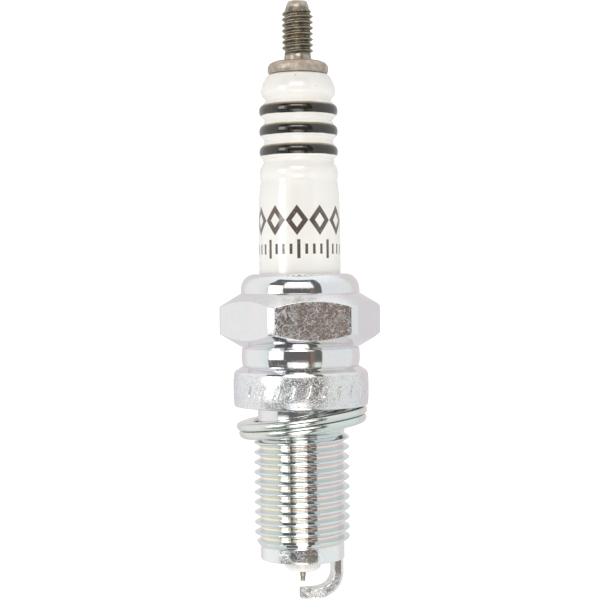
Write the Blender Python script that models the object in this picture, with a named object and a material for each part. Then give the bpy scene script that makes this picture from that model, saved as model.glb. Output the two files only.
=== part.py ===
"""A resistor spark plug with a threaded terminal stud, built from its separate pieces.

+Z points up, from the firing end to the terminal. The origin is the centre of the seat, the flat
underside of the shell's collar. Sizes are named in millimetres and turned into metres by MM.
"""

import math

import bmesh
import bpy
from mathutils import Matrix, Vector

MM = 0.001
GAP = 0.05  # clearance between pieces that bear on each other

# Thread of the shell, M12 x 1.25, and where it runs on the shell
SHELL_CREST, SHELL_ROOT, SHELL_PITCH = 5.97, 5.22, 1.25
SHELL_THREAD_BOTTOM, SHELL_TURNS, SHELL_THREAD_START = -17.8, 11, 151.4
# Thread of the terminal, M4 x 0.7
STUD_CREST, STUD_ROOT, STUD_PITCH = 1.94, 1.52, 0.7
STUD_THREAD_BOTTOM, STUD_TURNS = 43.04, 8

# Shell
HEX_FLATS, HEX_CORNER_R, HEX_TURN = 18.0, 10.15, 10.14
HEX_TOP, HEX_BOTTOM = 13.95, 7.45
COLLAR_R, COLLAR_TOP = 8.48, 4.4
NECK_R = 5.45
SHELL_END = -19.15
RIM_R, RIM_TOP = 7.45, 16.45
MOUTH_R, LEDGE_R, BORE_R, CHAMBER_R = 3.75, 3.05, 4.05, 6.25
LEDGE_Z = -8.9

# Insulator
BARREL_R, HEAD_TOP = 5.1, 41.0
RIB_HEIGHTS, RIB_CREST_R, RIB_ROUND = (36.55, 34.05, 31.5), 4.9, 1.0
NOSE_R, NOSE_END = 2.2, -20.9
STEM_BORE_R, WIRE_BORE_R, BORE_STEP_Z = 1.95, 1.2, -7.2
FLANGE_R = 5.95

# Conducting column inside the insulator
COLUMN_R = STEM_BORE_R - GAP
ELECTRODE_TOP, LOWER_SEAL_TOP, RESISTOR_TOP, UPPER_SEAL_TOP = -5.2, -1.6, 8.0, 12.4
STEM_R, STEM_END = 1.7, 10.2
TIP_R, TIP_END = 0.28, -22.1

# Ground electrode: a flat strap bent to a J
SPARK_GAP = 0.9
STRAP_TURN, STRAP_WIDTH, STRAP_TIP_WIDTH, STRAP_THICK = 13.0, 2.3, 1.2, 1.25
STRAP_OUTER_R, STRAP_BEND_R, STRAP_REACH, STRAP_TAPER = 5.02, 2.0, -0.35, 2.65

# Gasket: a folded washer that hangs cocked on the neck
GASKET_IN_R, GASKET_OUT_R, GASKET_LOW_R, GASKET_THICK, GASKET_SHEET = 6.1, 8.2, 7.98, 2.05, 0.34
GASKET_ROLL, GASKET_SEAM, GASKET_TILT = 0.48, -0.95, -7.4

SHELL_SIDES, INSULATOR_SIDES, STUD_SIDES, INNER_SIDES = 30, 30, 18, 24


def finish(name, made, material, sharp_deg=35):
    """A new object holding the bmesh, welded, facing out and shaded smooth."""
    bmesh.ops.remove_doubles(made, verts=made.verts, dist=1e-7)
    bmesh.ops.recalc_face_normals(made, faces=made.faces)
    mesh = bpy.data.meshes.new(name)
    made.to_mesh(mesh)
    made.free()
    mesh.shade_smooth()
    mesh.set_sharp_from_angle(angle=math.radians(sharp_deg))
    mesh.materials.append(material)
    obj = bpy.data.objects.new(name, mesh)
    bpy.context.scene.collection.objects.link(obj)
    return obj


def material(name, colour, metallic, roughness):
    made = bpy.data.materials.new(name)
    made.use_nodes = True
    shader = made.node_tree.nodes["Principled BSDF"]
    shader.inputs["Base Color"].default_value = (*colour, 1.0)
    shader.inputs["Metallic"].default_value = metallic
    shader.inputs["Roughness"].default_value = roughness
    return made


def arc(centre_r, centre_z, radius, start_deg, end_deg, steps):
    """Profile points (r, z) along an arc; 0 degrees points outwards and 90 up."""
    points = []
    for i in range(steps + 1):
        a = math.radians(start_deg + (end_deg - start_deg) * i / steps)
        points.append((centre_r + radius * math.cos(a), centre_z + radius * math.sin(a)))
    return points


def ring(made, radius, z, sides, turn_deg):
    """A circle of vertices, or one vertex where the radius is 0."""
    if radius == 0:
        return [made.verts.new((0, 0, z * MM))] * sides
    found = []
    for k in range(sides):
        a = math.radians(turn_deg) + math.tau * k / sides
        found.append(made.verts.new((radius * math.cos(a) * MM, radius * math.sin(a) * MM, z * MM)))
    return found


def face(made, *corners):
    """A face on the corners that differ."""
    different = list(dict.fromkeys(corners))
    if len(different) > 2:
        made.faces.new(different)


def join_rings(made, first, second):
    sides = len(first)
    for k in range(sides):
        n = (k + 1) % sides
        face(made, first[k], first[n], second[n], second[k])


def lathe(made, profile, sides, turn_deg, start=None):
    """Rings along the profile, joined one to the next. start is a ring that is there already."""
    rings = [start] if start else []
    rings += [ring(made, r, z, sides, turn_deg) for r, z in profile]
    for first, second in zip(rings, rings[1:]):
        join_rings(made, first, second)
    return rings[0], rings[-1]


def turned(name, outline, mat, sides=INNER_SIDES):
    """A solid of revolution from a closed outline of (r, z) points."""
    made = bmesh.new()
    first, last = lathe(made, outline, sides, 0)
    if outline[0][0] or outline[-1][0]:
        join_rings(made, last, first)
    return finish(name, made, mat)


def helix_thread(made, root, crest, pitch, bottom, turns, sides, turn_deg, start_side):
    """A right-hand thread as one ribbon, wound up from a flat ring at bottom. Returns that ring and the top one.

    Each turn of the ribbon is a root, a flank, a crest and a flank, and its crest fades in and out
    over the first and last part of a turn.
    """
    section = ((0.0, 0), (0.354, 1), (0.479, 1), (0.833, 0))
    fade = sides // 2
    count = sides * turns
    rows = []
    for i in range(count + 1):
        a = math.radians(turn_deg) + math.tau * (i + start_side) / sides
        rise = min(1.0, 0.3 + 0.7 * min(i, count - i) / fade)
        row = []
        for part, high in section:
            r = root + (crest - root) * high * rise
            z = bottom + pitch * (i / sides + part)
            row.append(made.verts.new((r * math.cos(a) * MM, r * math.sin(a) * MM, z * MM)))
        rows.append(row)
    top_edge = []
    for i in range(count - sides + 1, count + 1):
        a = math.radians(turn_deg) + math.tau * (i + start_side) / sides
        z = bottom + pitch * (i / sides + 1)
        top_edge.append(made.verts.new((root * math.cos(a) * MM, root * math.sin(a) * MM, z * MM)))
    for i in range(count + 1):
        rows[i].append(rows[i + sides][0] if i + sides <= count else top_edge[i + sides - count - 1])
    for low, high in zip(rows, rows[1:]):
        for j in range(len(section)):
            face(made, low[j], high[j], high[j + 1], low[j + 1])
    foot = ring(made, root, bottom, sides, turn_deg)
    foot = foot[start_side:] + foot[:start_side]
    head = ring(made, root, bottom + pitch * (turns + 1), sides, turn_deg)
    head = head[start_side:] + head[:start_side]
    made.verts.remove(foot[0])
    made.verts.remove(head[0])
    foot[0], head[0] = rows[0][0], rows[-1][-1]
    for k in range(sides - 1):
        face(made, foot[k], foot[k + 1], rows[k + 1][0], rows[k][0])
        low = count - sides + k + 1
        face(made, rows[low][-1], rows[low + 1][-1], head[(k + 2) % sides], head[k + 1])
    face(made, foot[-1], foot[0], rows[0][3], rows[sides][0], rows[sides - 1][0])
    face(made, rows[-1][0], rows[count - sides + 1][-1], head[1], head[0], rows[-1][3])
    face(made, *rows[0][:4])
    face(made, *rows[-1][3::-1])
    back = sides - start_side
    return foot[back:] + foot[:back], head[back:] + head[:back]


def shell_blank(mat):
    """The steel shell as turned and threaded, with a round band where the hexagon goes."""
    band_r = HEX_CORNER_R / math.cos(math.pi / SHELL_SIDES)
    lower = [(5.28, SHELL_THREAD_BOTTOM - 0.2), (5.28, SHELL_END + 0.2), (5.08, SHELL_END)]
    bore = [
        (MOUTH_R, SHELL_END),
        (MOUTH_R, LEDGE_Z - 2.3),
        (LEDGE_R, LEDGE_Z - 1.5),
        (LEDGE_R, LEDGE_Z),
        (BORE_R, LEDGE_Z + 0.7),
        (BORE_R, 3.4),
        (CHAMBER_R - 0.2, 4.7),
        (CHAMBER_R, 5.0),
        (CHAMBER_R, 14.6),
        (5.75, 15.4),
        (BARREL_R + 0.15, 15.65),
    ]
    rim = [(BARREL_R + 0.15, RIM_TOP)]
    rim += arc(RIM_R - 1.4, RIM_TOP - 1.4, 1.4, 90, 0, 5)
    rim += [(RIM_R, HEX_TOP), (RIM_R + 0.15, HEX_TOP - 0.05)]
    hexagon = [(band_r, HEX_TOP - 1.55), (band_r, HEX_BOTTOM + 1.6), (RIM_R, HEX_BOTTOM)]
    band = [(7.34, HEX_BOTTOM - 0.1), (7.42, 6.9), (7.44, 6.3), (7.42, 5.7), (7.34, 5.15)]
    collar = [(7.4, COLLAR_TOP + 0.6), (COLLAR_R - 0.1, COLLAR_TOP), (COLLAR_R - 0.02, COLLAR_TOP - 0.3)]
    collar += [(COLLAR_R + 0.03, 2.1)]
    collar += arc(COLLAR_R - 0.6, 0.6, 0.6, 0, -90, 3)
    neck = [(NECK_R + 0.1, 0), (NECK_R, -0.15), (NECK_R, -2.5)]

    made = bmesh.new()
    turn = HEX_TURN - 180 / SHELL_SIDES
    start_side = round((SHELL_THREAD_START - turn) / 360 * SHELL_SIDES)
    foot, head = helix_thread(
        made, SHELL_ROOT, SHELL_CREST, SHELL_PITCH, SHELL_THREAD_BOTTOM, SHELL_TURNS, SHELL_SIDES, turn, start_side
    )
    _, inner_end = lathe(made, lower + bore, SHELL_SIDES, turn, start=foot)
    outside = rim + hexagon + band + collar + neck
    _, outer_end = lathe(made, outside, SHELL_SIDES, turn, start=inner_end)
    join_rings(made, outer_end, head)
    return finish("shell", made, mat)


def cut_hexagon(shell):
    """Keeps of the shell what lies within six flats. Everything but the hexagon's band is inside them."""
    made = bmesh.new()
    bmesh.ops.create_cone(
        made,
        cap_ends=True,
        segments=6,
        radius1=HEX_FLATS / math.sqrt(3) * MM,
        radius2=HEX_FLATS / math.sqrt(3) * MM,
        depth=60 * MM,
        matrix=Matrix.Rotation(math.radians(HEX_TURN - 30), 4, "Z"),
    )
    cutter = finish("hexagon_guide", made, shell.data.materials[0])
    cutter.hide_render = True
    cutter.display_type = "WIRE"
    cut = shell.modifiers.new("hexagon", "BOOLEAN")
    cut.operation = "INTERSECT"
    cut.solver = "EXACT"
    cut.object = cutter


def insulator(mat):
    """The glazed alumina insulator, ribbed at the terminal end, with its stepped bore."""
    head = [(STEM_BORE_R, HEAD_TOP), (3.6, HEAD_TOP), (4.2, 40.35), (4.55, 39.6), (4.64, 39.0)]
    head += [(4.5, 38.5), (4.1, 38.0)]
    ribs = []
    half = math.degrees(math.asin(0.88 / RIB_ROUND))
    for z in RIB_HEIGHTS:
        ribs += arc(RIB_CREST_R - RIB_ROUND, z, RIB_ROUND, half, -half, 4)
    barrel = [(4.4, 30.15), (4.8, 29.5), (4.88, 28.9), (4.79, 28.05), (4.95, 26.9), (5.06, 24.5), (BARREL_R, 20)]
    shoulder = [(BARREL_R, 11.4), (FLANGE_R - 0.1, 10.6), (FLANGE_R, 10.2), (FLANGE_R, 5.4), (5.6, 4.95)]
    body = [(3.95, 3.95), (3.85, 3.4), (3.85, LEDGE_Z + 1.05), (2.85, LEDGE_Z + 0.35)]
    nose = [(2.8, LEDGE_Z - 1), (NOSE_R + 0.03, NOSE_END + 1.5)]
    nose += arc(NOSE_R - 0.7, NOSE_END + 0.7, 0.7, 0, -90, 4)
    bore = [(WIRE_BORE_R, NOSE_END), (WIRE_BORE_R, BORE_STEP_Z), (STEM_BORE_R, BORE_STEP_Z + 0.8)]
    return turned("insulator", head + ribs + barrel + shoulder + body + nose + bore, mat, INSULATOR_SIDES)


def terminal_stud(mat):
    """Threaded terminal, its flange on top of the insulator and the stem that reaches down the bore."""
    tip = [(STUD_ROOT - 0.08, 49.4), (1.2, 49.95), (1.05, 50.15), (0, 50.15)]
    neck = [(1.68, 42.98), (1.68, 42.8)]
    flange = [(2.2, 42.72)] + arc(2.97, 41.85, 0.8, 80, 0, 4) + [(3.72, 41.2), (3.55, HEAD_TOP + GAP)]
    stem = [(STEM_R, HEAD_TOP + GAP), (STEM_R, UPPER_SEAL_TOP + 0.6), (1.45, UPPER_SEAL_TOP + 0.2)]
    stem += [(1.45, STEM_END + 0.3), (1.2, STEM_END), (0, STEM_END)]
    made = bmesh.new()
    foot, head = helix_thread(
        made, STUD_ROOT, STUD_CREST, STUD_PITCH, STUD_THREAD_BOTTOM, STUD_TURNS, STUD_SIDES, 0, 0
    )
    lathe(made, tip, STUD_SIDES, 0, start=head)
    lathe(made, neck + flange + stem, STUD_SIDES, 0, start=foot)
    return finish("terminal_stud", made, mat)


def disc(name, radius, low, high, mat):
    """A plain round slug in the insulator's bore."""
    return turned(name, [(0, high), (radius, high), (radius, low), (0, low)], mat)


def conducting_column(glass, carbon, nickel, copper, iridium):
    """What carries the current down the bore: glass, resistor, glass, then the cored electrode and its tip."""
    pocket_r = 1.45 + GAP
    seal = [(pocket_r, UPPER_SEAL_TOP), (COLUMN_R, UPPER_SEAL_TOP), (COLUMN_R, RESISTOR_TOP + GAP)]
    seal += [(0, RESISTOR_TOP + GAP), (0, STEM_END - GAP), (1.2, STEM_END - GAP), (pocket_r, STEM_END + 0.25)]
    turned("upper_glass_seal", seal, glass)
    disc("resistor", COLUMN_R, LOWER_SEAL_TOP + GAP, RESISTOR_TOP, carbon)
    disc("lower_glass_seal", COLUMN_R, ELECTRODE_TOP + GAP, LOWER_SEAL_TOP, glass)

    core_r, core_end, wire_r = 0.65, -19.0, WIRE_BORE_R - GAP
    electrode = [(core_r + GAP, ELECTRODE_TOP), (1.7, ELECTRODE_TOP), (1.7, BORE_STEP_Z + 0.75)]
    electrode += [(wire_r, BORE_STEP_Z + 0.1), (wire_r, NOSE_END + 0.5), (0.45, NOSE_END + 0.15)]
    electrode += [(0, NOSE_END + 0.15), (0, core_end - GAP), (core_r + GAP, core_end + 0.3)]
    turned("centre_electrode", electrode, nickel)
    core = [(0, ELECTRODE_TOP), (core_r, ELECTRODE_TOP), (core_r, core_end + 0.3), (0, core_end)]
    turned("copper_core", core, copper)
    tip = [(0, NOSE_END + 0.1), (TIP_R + 0.06, NOSE_END + 0.1), (TIP_R, NOSE_END - 0.4), (TIP_R - 0.02, TIP_END)]
    turned("iridium_tip", tip + [(0, TIP_END)], iridium)


def packing(steel, talc):
    """What seals the insulator in the shell: two wire rings with talc between them, and a washer on the ledge."""
    wire = 0.42
    wire_r = (BARREL_R + CHAMBER_R) / 2
    lower_z, upper_z = 11.55, 14.55
    for name, z in (("lower_packing_ring", lower_z), ("upper_packing_ring", upper_z)):
        turned(name, arc(wire_r, z, wire, 0, -315, 7), steel)
    low, high = lower_z + wire + GAP, upper_z - wire - GAP
    inner, outer = BARREL_R + GAP, CHAMBER_R - GAP
    turned("talc_seal", [(inner, high), (outer, high), (outer, low), (inner, low)], talc)
    lift, thick = 0.07, 0.2
    washer = [(LEDGE_R + 0.05, LEDGE_Z + lift), (LEDGE_R + 0.05, LEDGE_Z + lift + thick)]
    washer += [(BORE_R - 0.25, LEDGE_Z + 0.56 + lift + thick), (BORE_R - 0.25, LEDGE_Z + 0.56 + lift)]
    turned("seat_packing", washer[::-1], steel)


def ground_electrode(mat):
    """The flat strap welded to the shell's end face and bent under the tip, its end cut to a taper."""
    inner_r = STRAP_OUTER_R - STRAP_THICK
    leg_top = TIP_END - SPARK_GAP
    bend_x, bend_z = inner_r - STRAP_BEND_R, leg_top + STRAP_BEND_R
    stations = [(inner_r, SHELL_END - GAP, 0)]
    steps = 6
    for i in range(steps + 1):
        a = 90 * i / steps
        turn = math.radians(a)
        stations.append((bend_x + STRAP_BEND_R * math.cos(turn), bend_z - STRAP_BEND_R * math.sin(turn), a))
    stations.append((STRAP_REACH, leg_top, 90))

    made = bmesh.new()
    sections = []
    for x, z, a in stations:
        full = min(1, (x - STRAP_REACH) / STRAP_TAPER)
        width = STRAP_TIP_WIDTH + (STRAP_WIDTH - STRAP_TIP_WIDTH) * full
        out = Vector((math.cos(math.radians(a)), 0, -math.sin(math.radians(a)))) * STRAP_THICK
        inner = Vector((x, 0, z))
        side = Vector((0, width / 2, 0))
        corners = (inner - side, inner + side, inner + out + side, inner + out - side)
        sections.append([made.verts.new(c * MM) for c in corners])
    for first, second in zip(sections, sections[1:]):
        join_rings(made, first, second)
    made.faces.new(sections[0])
    made.faces.new(sections[-1])
    obj = finish("ground_electrode", made, mat)
    obj.rotation_euler = (0, 0, math.radians(STRAP_TURN))
    edges = obj.modifiers.new("edges", "BEVEL")
    edges.width = 0.12 * MM
    edges.segments = 1
    edges.limit_method = "ANGLE"
    edges.angle_limit = math.radians(60)
    return obj


def gasket(mat):
    """A washer folded from sheet: one strip, from the seam's upper lip over the top, down the bore and back out.

    It is drawn flat, about the centre of its outer roll, and the empty that holds it cocks it: the
    roll touches the seat on one side and the washer hangs down on the other.
    """
    t, seam, low = GASKET_SHEET, GASKET_SEAM, -GASKET_THICK
    roll_r, fold_r = GASKET_OUT_R - GASKET_ROLL, GASKET_LOW_R
    outer = [(GASKET_OUT_R - 0.1, seam + 0.1)]
    outer += arc(roll_r, -GASKET_ROLL, GASKET_ROLL, 0, 90, 3)
    outer += arc(GASKET_IN_R + 0.3, -0.3, 0.3, 90, 180, 2)
    outer += arc(GASKET_IN_R + 0.3, low + 0.3, 0.3, 180, 270, 2)
    outer += [(fold_r - 0.75, low), (fold_r - 0.3, low + 0.2), (fold_r, low + 0.6), (fold_r, seam)]
    inner = [(fold_r - t, seam), (fold_r - t, low + 0.7), (fold_r - 0.75, low + t), (GASKET_IN_R + t, low + t)]
    inner += [(GASKET_IN_R + t, -t), (roll_r, -t)]
    inner += [(GASKET_OUT_R - t, -GASKET_ROLL), (GASKET_OUT_R - 0.1 - t, seam + 0.1)]
    obj = turned("gasket", outer + inner, mat, SHELL_SIDES)

    tilt = math.radians(GASKET_TILT)
    highest = GASKET_ROLL + GAP
    pivot = bpy.data.objects.new("gasket_pivot", None)
    pivot.location = (roll_r * MM, 0, -highest * MM)
    pivot.rotation_euler = (0, tilt, 0)
    bpy.context.scene.collection.objects.link(pivot)
    obj.parent = pivot
    obj.location = (-roll_r * MM, 0, GASKET_ROLL * MM)
    return obj


def main():
    for obj in list(bpy.data.objects):
        bpy.data.objects.remove(obj)
    plated = material("plated_steel", (0.78, 0.80, 0.81), 1.0, 0.22)
    washer = material("gasket_steel", (0.80, 0.81, 0.79), 1.0, 0.2)
    nickel = material("nickel_alloy", (0.74, 0.75, 0.75), 1.0, 0.3)
    bare = material("terminal_steel", (0.36, 0.34, 0.31), 1.0, 0.42)
    glaze = material("white_glaze", (0.93, 0.92, 0.89), 0.0, 0.12)
    glass = material("glass_seal", (0.16, 0.12, 0.10), 0.0, 0.35)
    carbon = material("resistor_ceramic", (0.09, 0.09, 0.09), 0.0, 0.7)
    copper = material("copper", (0.72, 0.36, 0.22), 1.0, 0.35)
    iridium = material("iridium", (0.62, 0.60, 0.57), 1.0, 0.25)
    talc = material("talc", (0.85, 0.84, 0.80), 0.0, 0.9)
    packing_steel = material("packing_steel", (0.45, 0.45, 0.46), 1.0, 0.5)

    cut_hexagon(shell_blank(plated))
    insulator(glaze)
    terminal_stud(bare)
    conducting_column(glass, carbon, nickel, copper, iridium)
    packing(packing_steel, talc)
    ground_electrode(nickel)
    gasket(washer)


main()
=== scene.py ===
"""Looks of the spark plug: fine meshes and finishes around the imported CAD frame.

Lengths in the helpers are millimetres in the row frame: the origin is on the seat, +Z points to the terminal.
"""

import math

import bpy
from mathutils import Matrix, Vector, noise


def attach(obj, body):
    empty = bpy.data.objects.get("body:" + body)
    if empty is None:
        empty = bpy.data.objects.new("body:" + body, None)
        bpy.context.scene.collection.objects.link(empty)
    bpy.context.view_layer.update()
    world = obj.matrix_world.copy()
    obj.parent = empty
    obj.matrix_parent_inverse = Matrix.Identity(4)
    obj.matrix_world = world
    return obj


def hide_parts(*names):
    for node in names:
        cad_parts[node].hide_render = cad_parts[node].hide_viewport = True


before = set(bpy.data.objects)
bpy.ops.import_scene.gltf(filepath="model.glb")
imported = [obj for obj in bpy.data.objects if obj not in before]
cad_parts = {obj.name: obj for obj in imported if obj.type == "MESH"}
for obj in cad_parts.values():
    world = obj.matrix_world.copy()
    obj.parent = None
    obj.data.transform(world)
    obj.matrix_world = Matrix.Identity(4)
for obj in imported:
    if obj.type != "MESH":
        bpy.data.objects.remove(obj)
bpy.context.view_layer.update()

MM = 0.001


# ---------------------------------------------------------------- mesh helpers


class Build:
    """Vertices and faces of one mesh, made of rings of columns that share one list of angles."""

    def __init__(self, angles):
        self.angles = angles
        self.verts = []
        self.faces = []
        self.slots = []

    def ring(self, points):
        """One vertex per column from (r, z) per column, or from a single (r, z) for all of them."""
        if isinstance(points, tuple):
            points = [points] * len(self.angles)
        first = len(self.verts)
        for a, (r, z) in zip(self.angles, points):
            self.verts.append((r * math.cos(a), r * math.sin(a), z))
        return list(range(first, len(self.verts)))

    def pole(self, z):
        self.verts.append((0.0, 0.0, z))
        return len(self.verts) - 1

    def face(self, corners, slot=0):
        self.faces.append(tuple(corners))
        self.slots.append(slot)

    def bridge(self, lower, upper, slot=0):
        n = len(lower)
        for i in range(n):
            k = (i + 1) % n
            self.face((lower[i], lower[k], upper[k], upper[i]), slot)

    def skin(self, rings, slot=0, downwards=False):
        """Bridge each ring to the next, for rings listed upwards or downwards."""
        for one, two in zip(rings, rings[1:]):
            if downwards:
                self.bridge(two, one, slot)
            else:
                self.bridge(one, two, slot)

    def cap(self, ring, pole, slot=0, flip=False):
        n = len(ring)
        for i in range(n):
            k = (i + 1) % n
            self.face((ring[k], ring[i], pole) if flip else (ring[i], ring[k], pole), slot)

    def finish(self, name, materials, sharp_deg=38):
        mesh = bpy.data.meshes.new(name)
        mesh.from_pydata([(x * MM, y * MM, z * MM) for x, y, z in self.verts], [], self.faces)
        for m in materials:
            mesh.materials.append(m)
        mesh.polygons.foreach_set("material_index", self.slots)
        mesh.validate()
        mesh.shade_smooth()
        mesh.set_sharp_from_angle(angle=math.radians(sharp_deg))
        obj = bpy.data.objects.new(name, mesh)
        bpy.context.scene.collection.objects.link(obj)
        return obj


def even_angles(count, start=0.0):
    return [math.radians(start) + math.tau * i / count for i in range(count)]


def rounded(points, steps=4):
    """(r, z) points along a polyline of (r, z, fillet radius), with as many steps at each round corner."""
    found = []
    last = len(points) - 1
    for i, (r, z, radius) in enumerate(points):
        if radius == 0 or i in (0, last):
            found.append((r, z))
            continue
        here = Vector((r, z))
        before = Vector(points[i - 1][:2]) - here
        after = Vector(points[i + 1][:2]) - here
        room = 0.48 * min(before.length, after.length)
        before.normalize()
        after.normalize()
        half = before.angle(after) / 2
        reach = min(room, radius / math.tan(half))
        for k in range(steps + 1):
            t = k / steps
            a = here + before * reach * (1 - t) ** 2 + after * reach * t**2
            found.append((a.x, a.y))
    return found


def smooth_through(points, per_span=4, closed=False):
    """A Catmull-Rom curve through (r, z) points. A closed one also runs from the last point to the first."""
    found = []
    count = len(points)
    for i in range(count if closed else count - 1):
        near = [(i + k) % count if closed else max(0, min(count - 1, i + k)) for k in (-1, 0, 1, 2)]
        before, here, there, after = (Vector(points[k]) for k in near)
        for k in range(per_span):
            t = k / per_span
            q = 0.5 * (
                2 * here
                + (there - before) * t
                + (2 * before - 5 * here + 4 * there - after) * t * t
                + (3 * here - before - 3 * there + after) * t**3
            )
            found.append((q.x, q.y))
    if not closed:
        found.append(tuple(points[-1]))
    return found


def ramp(value, low, high):
    """0 below low, 1 above high, and a soft step between them."""
    t = max(0.0, min(1.0, (value - low) / (high - low)))
    return t * t * (3 - 2 * t)


def soft_min(a, b, soft):
    """The smaller of two lengths, with the corner between them eased over a length of about soft."""
    low, gap = min(a, b), abs(a - b)
    return low - soft * math.log1p(math.exp(-gap / soft))


# Half a pitch of a 60 degree thread, root to crest: (share of the pitch along, share of the depth up)
HALF_FORM = (
    (0.0, 0.0),
    (0.055, 0.0),
    (0.095, 0.02),
    (0.13, 0.085),
    (0.145, 0.13),
    (0.345, 0.724),
    (0.357, 0.76),
    (0.395, 0.87),
    (0.425, 0.94),
    (0.458, 0.985),
)
OTHER_HALF = tuple((1.0 - along, high) for along, high in HALF_FORM[:0:-1])
THREAD_FORM = HALF_FORM + ((0.5, 1.0),) + OTHER_HALF
CLOSING_STEP = 0.02


def wind_thread(build, foot, start_z, pitch, turns, radius, slot=0):
    """Rows that climb one pitch a turn from the flat ring foot.

    radius(turn, high, z) gives each vertex's radius. The result is the flat ring that closes the thread
    above.
    """
    angles = build.angles
    n = len(angles)
    per = len(THREAD_FORM)
    rows = []
    for j in range(turns * per + 1):
        whole, (along, high) = j // per, THREAD_FORM[j % per]
        row = []
        for a in angles:
            part = (a - angles[0]) / math.tau
            z = start_z + pitch * (whole + along + part)
            r = radius(whole + part, high, z)
            build.verts.append((r * math.cos(a), r * math.sin(a), z))
            row.append(len(build.verts) - 1)
        rows.append(row)
    for j in range(turns * per):
        for i in range(n - 1):
            build.face((rows[j][i], rows[j][i + 1], rows[j + 1][i + 1], rows[j + 1][i]), slot)
        if j + per < turns * per:
            build.face((rows[j][-1], rows[j + per][0], rows[j + per + 1][0], rows[j + 1][-1]), slot)
    for i in range(n - 1):
        build.face((foot[i], foot[i + 1], rows[0][i + 1], rows[0][i]), slot)
    first_turn = [rows[j][0] for j in range(per + 1)]
    build.face([foot[-1], foot[0]] + first_turn + [rows[0][-1]], slot)
    end_z = start_z + pitch * (turns + 1)
    top = build.ring((radius(turns + 1, 0.0, end_z), end_z + CLOSING_STEP))
    for i in range(n - 1):
        build.face((rows[-1][i], rows[-1][i + 1], top[i + 1], top[i]), slot)
    last_turn = [rows[j][-1] for j in range(turns * per, (turns - 1) * per - 1, -1)]
    build.face([top[-1]] + last_turn + [rows[-1][0], top[0]], slot)
    return top


# ---------------------------------------------------------------- material helpers


class Tree:
    """A node tree, with short ways to make and join nodes."""

    def __init__(self, tree):
        self.tree = tree

    def add(self, kind, **settings):
        node = self.tree.nodes.new(kind)
        for key, value in settings.items():
            setattr(node, key, value)
        return node

    def join(self, source, target):
        self.tree.links.new(source, target)

    def put(self, node, name, value):
        if hasattr(value, "is_output"):
            self.join(value, node.inputs[name])
        else:
            node.inputs[name].default_value = value

    def math(self, operation, a, b=None, c=None, clamp=False):
        node = self.add("ShaderNodeMath", operation=operation, use_clamp=clamp)
        for i, value in enumerate((a, b, c)):
            if value is not None:
                self.put(node, i, value)
        return node.outputs[0]

    def span(self, value, low, high, out_low=0.0, out_high=1.0):
        node = self.add("ShaderNodeMapRange", interpolation_type="SMOOTHSTEP")
        self.put(node, "Value", value)
        limits = {"From Min": low, "From Max": high, "To Min": out_low, "To Max": out_high}
        for name, number in limits.items():
            self.put(node, name, number)
        return node.outputs["Result"]

    def colours(self, value, *stops):
        node = self.add("ShaderNodeValToRGB")
        self.join(value, node.inputs["Fac"])
        elements = node.color_ramp.elements
        while len(elements) < len(stops):
            elements.new(0.5)
        for element, (at, colour) in zip(elements, stops):
            element.position = at
            element.color = (*colour, 1.0)
        return node.outputs["Color"]

    def mix(self, amount, a, b, blend="MIX"):
        node = self.add("ShaderNodeMix", data_type="RGBA", blend_type=blend)
        self.put(node, 0, amount)
        for socket, value in ((6, a), (7, b)):
            if hasattr(value, "is_output"):
                self.join(value, node.inputs[socket])
            else:
                node.inputs[socket].default_value = (*value, 1.0)
        return node.outputs[2]


class Nodes(Tree):
    """A material's node tree: its shader's sockets, textures placed on the object, and bumps."""

    def __init__(self, name):
        self.material = bpy.data.materials.new(name)
        self.material.use_nodes = True
        super().__init__(self.material.node_tree)
        self.shader = self.tree.nodes["Principled BSDF"]
        self.place = self.add("ShaderNodeTexCoord").outputs["Object"]

    def set(self, **values):
        for key, value in values.items():
            self.put(self.shader, key.replace("_", " "), value)

    def scaled(self, x, y, z):
        node = self.add("ShaderNodeMapping")
        self.join(self.place, node.inputs["Vector"])
        node.inputs["Scale"].default_value = (x, y, z)
        return node.outputs["Vector"]

    def noise(self, scale, detail=3.0, rough=0.5, vector=None, distortion=0.0):
        node = self.add("ShaderNodeTexNoise")
        self.join(vector or self.place, node.inputs["Vector"])
        self.put(node, "Scale", scale)
        self.put(node, "Detail", detail)
        self.put(node, "Roughness", rough)
        self.put(node, "Distortion", distortion)
        return node.outputs["Fac"]

    def bump(self, height, strength, distance, under=None):
        node = self.add("ShaderNodeBump")
        self.put(node, "Height", height)
        self.put(node, "Strength", strength)
        self.put(node, "Distance", distance)
        if under is not None:
            self.join(under, node.inputs["Normal"])
        return node.outputs["Normal"]


MICRON = 0.000001
PLATE_BASE = (0.81, 0.83, 0.835)
ROSE_EDGE = (1.0, 0.93, 0.965)
# How the film's thickness tints the plate: (noise value, red, green and blue factors)
FILM_TINTS = (
    (0.30, 0.98, 1.00, 1.02),
    (0.44, 1.00, 1.00, 1.00),
    (0.54, 1.02, 0.985, 1.00),
    (0.62, 1.02, 1.00, 0.96),
    (0.72, 0.98, 1.01, 0.98),
)


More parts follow.
